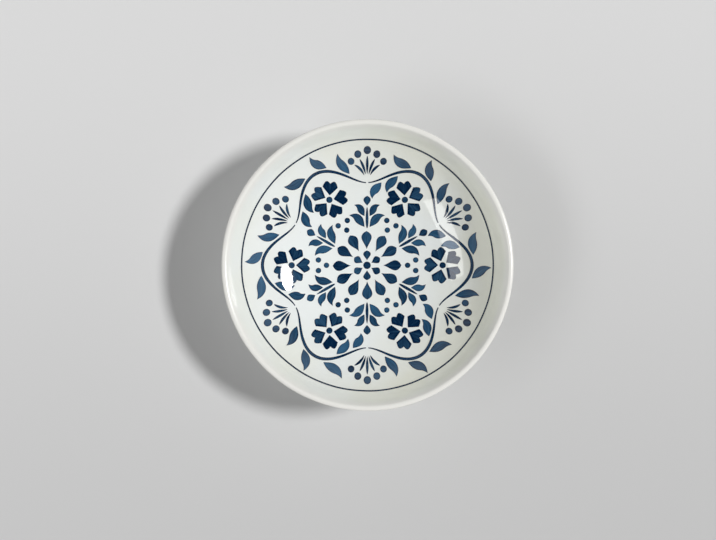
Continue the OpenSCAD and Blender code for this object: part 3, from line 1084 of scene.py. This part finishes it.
class SOUP_PLATE_OT_stage(bpy.types.Operator):
    """Make the floor, the light and the camera above the plate"""

    bl_idname = "soup_plate.stage"
    bl_label = "Stage"

    def execute(self, context):
        scene = context.scene
        scene.view_settings.view_transform = "Standard"
        self.make_floor(scene)
        self.make_light(scene)
        self.make_camera(scene)
        return {"FINISHED"}

    def make_floor(self, scene):
        """One plain sheet under the plate."""
        bm = bmesh.new()
        bmesh.ops.create_grid(bm, x_segments=1, y_segments=1, size=scene.plate_stage.floor_wide / 2)
        mesh = bpy.data.meshes.new("floor")
        bm.to_mesh(mesh)
        bm.free()
        mesh.materials.append(finish_of("studio_floor"))
        floor = bpy.data.objects.new("floor", mesh)
        scene.collection.objects.link(floor)

    def make_light(self, scene):
        """A far soft key light, a white card across from it, and a fill that is strongest from one side. The
        camera and the gloss see a pale backdrop, which dims overhead."""
        stage = scene.plate_stage
        self.add_lamp(
            scene, "key", stage.key_power, stage.key_reach, stage.key_azimuth, stage.key_height,
            stage.key_wide, stage.key_high, "ELLIPSE",
        )
        self.add_lamp(
            scene, "card", stage.card_power, stage.card_reach, stage.card_azimuth, stage.card_height,
            stage.card_wide, stage.card_high, "RECTANGLE",
        )
        world = bpy.data.worlds.new("studio")
        world.use_nodes = True
        tree = world.node_tree
        tree.nodes.clear()
        way = add_node(tree, "ShaderNodeTexCoord").outputs["Generated"]
        rise = add_node(tree, "ShaderNodeSeparateXYZ", links={0: way}).outputs["Z"]
        height = add_node(
            tree, "ShaderNodeMapRange", values={"To Min": stage.fill_side, "To Max": stage.fill_top},
            links={"Value": rise},
        )
        aside = (math.cos(stage.fill_azimuth), math.sin(stage.fill_azimuth), 0.0)
        slant = add_node(
            tree, "ShaderNodeVectorMath", {"operation": "DOT_PRODUCT"},
            {1: Vector(aside) * stage.fill_slant}, {0: way},
        )
        strength = add_node(
            tree, "ShaderNodeMath", {"operation": "ADD", "use_clamp": True},
            links={0: height.outputs[0], 1: slant.outputs["Value"]},
        )
        fill = add_node(
            tree, "ShaderNodeBackground", values={"Color": (1.0, 1.0, 1.0, 1.0)},
            links={"Strength": strength.outputs[0]},
        )
        overhead = add_node(
            tree, "ShaderNodeMapRange", {"interpolation_type": "SMOOTHSTEP"},
            {"From Min": BACKDROP_TOP, "From Max": CEILING_EDGE, "To Min": 1.0, "To Max": stage.fill_top},
            {"Value": rise},
        )
        backdrop = add_node(
            tree, "ShaderNodeBackground", values={"Color": tuple(scene.plate_finishes.backdrop)},
            links={"Strength": overhead.outputs[0]},
        )
        path = add_node(tree, "ShaderNodeLightPath").outputs
        seen = path["Is Camera Ray"]
        for ray in ("Is Glossy Ray", "Is Transmission Ray"):
            seen = add_node(
                tree, "ShaderNodeMath", {"operation": "ADD", "use_clamp": True},
                links={0: seen, 1: path[ray]},
            ).outputs[0]
        sight = add_node(
            tree, "ShaderNodeMixShader", links={0: seen, 1: fill.outputs[0], 2: backdrop.outputs[0]},
        )
        add_node(tree, "ShaderNodeOutputWorld", links={"Surface": sight.outputs[0]})
        scene.world = world

    def add_lamp(self, scene, name, power, reach, azimuth, height, wide, high, shape):
        """An area light that faces the plate from a direction."""
        data = bpy.data.lights.new(name, "AREA")
        data.energy = power
        data.shape = shape
        data.size = wide
        data.size_y = high
        lamp = bpy.data.objects.new(name, data)
        flat = math.cos(height)
        ray = Vector((flat * math.cos(azimuth), flat * math.sin(azimuth), math.sin(height)))
        lamp.location = ray * reach
        lamp.rotation_mode = "QUATERNION"
        lamp.rotation_quaternion = (-ray).to_track_quat("-Z", "Y")
        lamp.visible_camera = False
        scene.collection.objects.link(lamp)

    def make_camera(self, scene):
        """Straight above, placed so that the rim falls where the photograph has it."""
        stage = scene.plate_stage
        size = scene.plate_sizes
        pixel = size.rim_d / 2 / RIM_RADIUS_PX
        data = bpy.data.cameras.new("camera")
        data.sensor_width = stage.sensor / MM
        data.lens = stage.sensor / MM * stage.camera_reach / (FRAME_WIDE * pixel)
        camera = bpy.data.objects.new("camera", data)
        across = (FRAME_WIDE / 2 - PLATE_PX[0]) * pixel
        up = (PLATE_PX[1] - FRAME_HIGH / 2) * pixel
        camera.location = (across, up, plate_section(size).height + stage.camera_reach)
        scene.collection.objects.link(camera)
        scene.camera = camera


OPERATORS = (
    SOUP_PLATE_OT_stage,
    SOUP_PLATE_OT_porcelain_body,
    SOUP_PLATE_OT_glaze_coat,
    SOUP_PLATE_OT_base_glaze,
    SOUP_PLATE_OT_edge_line,
    SOUP_PLATE_OT_vine,
    SOUP_PLATE_OT_blossoms,
    SOUP_PLATE_OT_berry_sprays,
    SOUP_PLATE_OT_rosette,
    SOUP_PLATE_OT_sprigs,
    SOUP_PLATE_OT_scatter_dots,
)


class SOUP_PLATE_PT_pieces(bpy.types.Panel):
    """Lists the pieces of the soup plate"""

    bl_idname = "SOUP_PLATE_PT_pieces"
    bl_label = "Soup Plate"
    bl_space_type = "VIEW_3D"
    bl_region_type = "UI"
    bl_category = "Soup Plate"

    def draw(self, context):
        for operator in OPERATORS:
            self.layout.operator(operator.bl_idname)


SETTINGS = {
    "plate_sizes": PlateSizes,
    "paint_sizes": PaintSizes,
    "plate_finishes": Finishes,
    "plate_stage": StageSettings,
}


def register():
    for name, group in SETTINGS.items():
        bpy.utils.register_class(group)
        setattr(bpy.types.Scene, name, PointerProperty(type=group))
    for operator in OPERATORS:
        bpy.utils.register_class(operator)
    bpy.utils.register_class(SOUP_PLATE_PT_pieces)


def unregister():
    bpy.utils.unregister_class(SOUP_PLATE_PT_pieces)
    for operator in reversed(OPERATORS):
        bpy.utils.unregister_class(operator)
    for name, group in reversed(SETTINGS.items()):
        delattr(bpy.types.Scene, name)
        bpy.utils.unregister_class(group)


def main():
    """Builds the stage and the plate."""
    register()
    for operator in OPERATORS:
        group, name = operator.bl_idname.split(".")
        getattr(getattr(bpy.ops, group), name)()


if __name__ == "__main__":
    main()
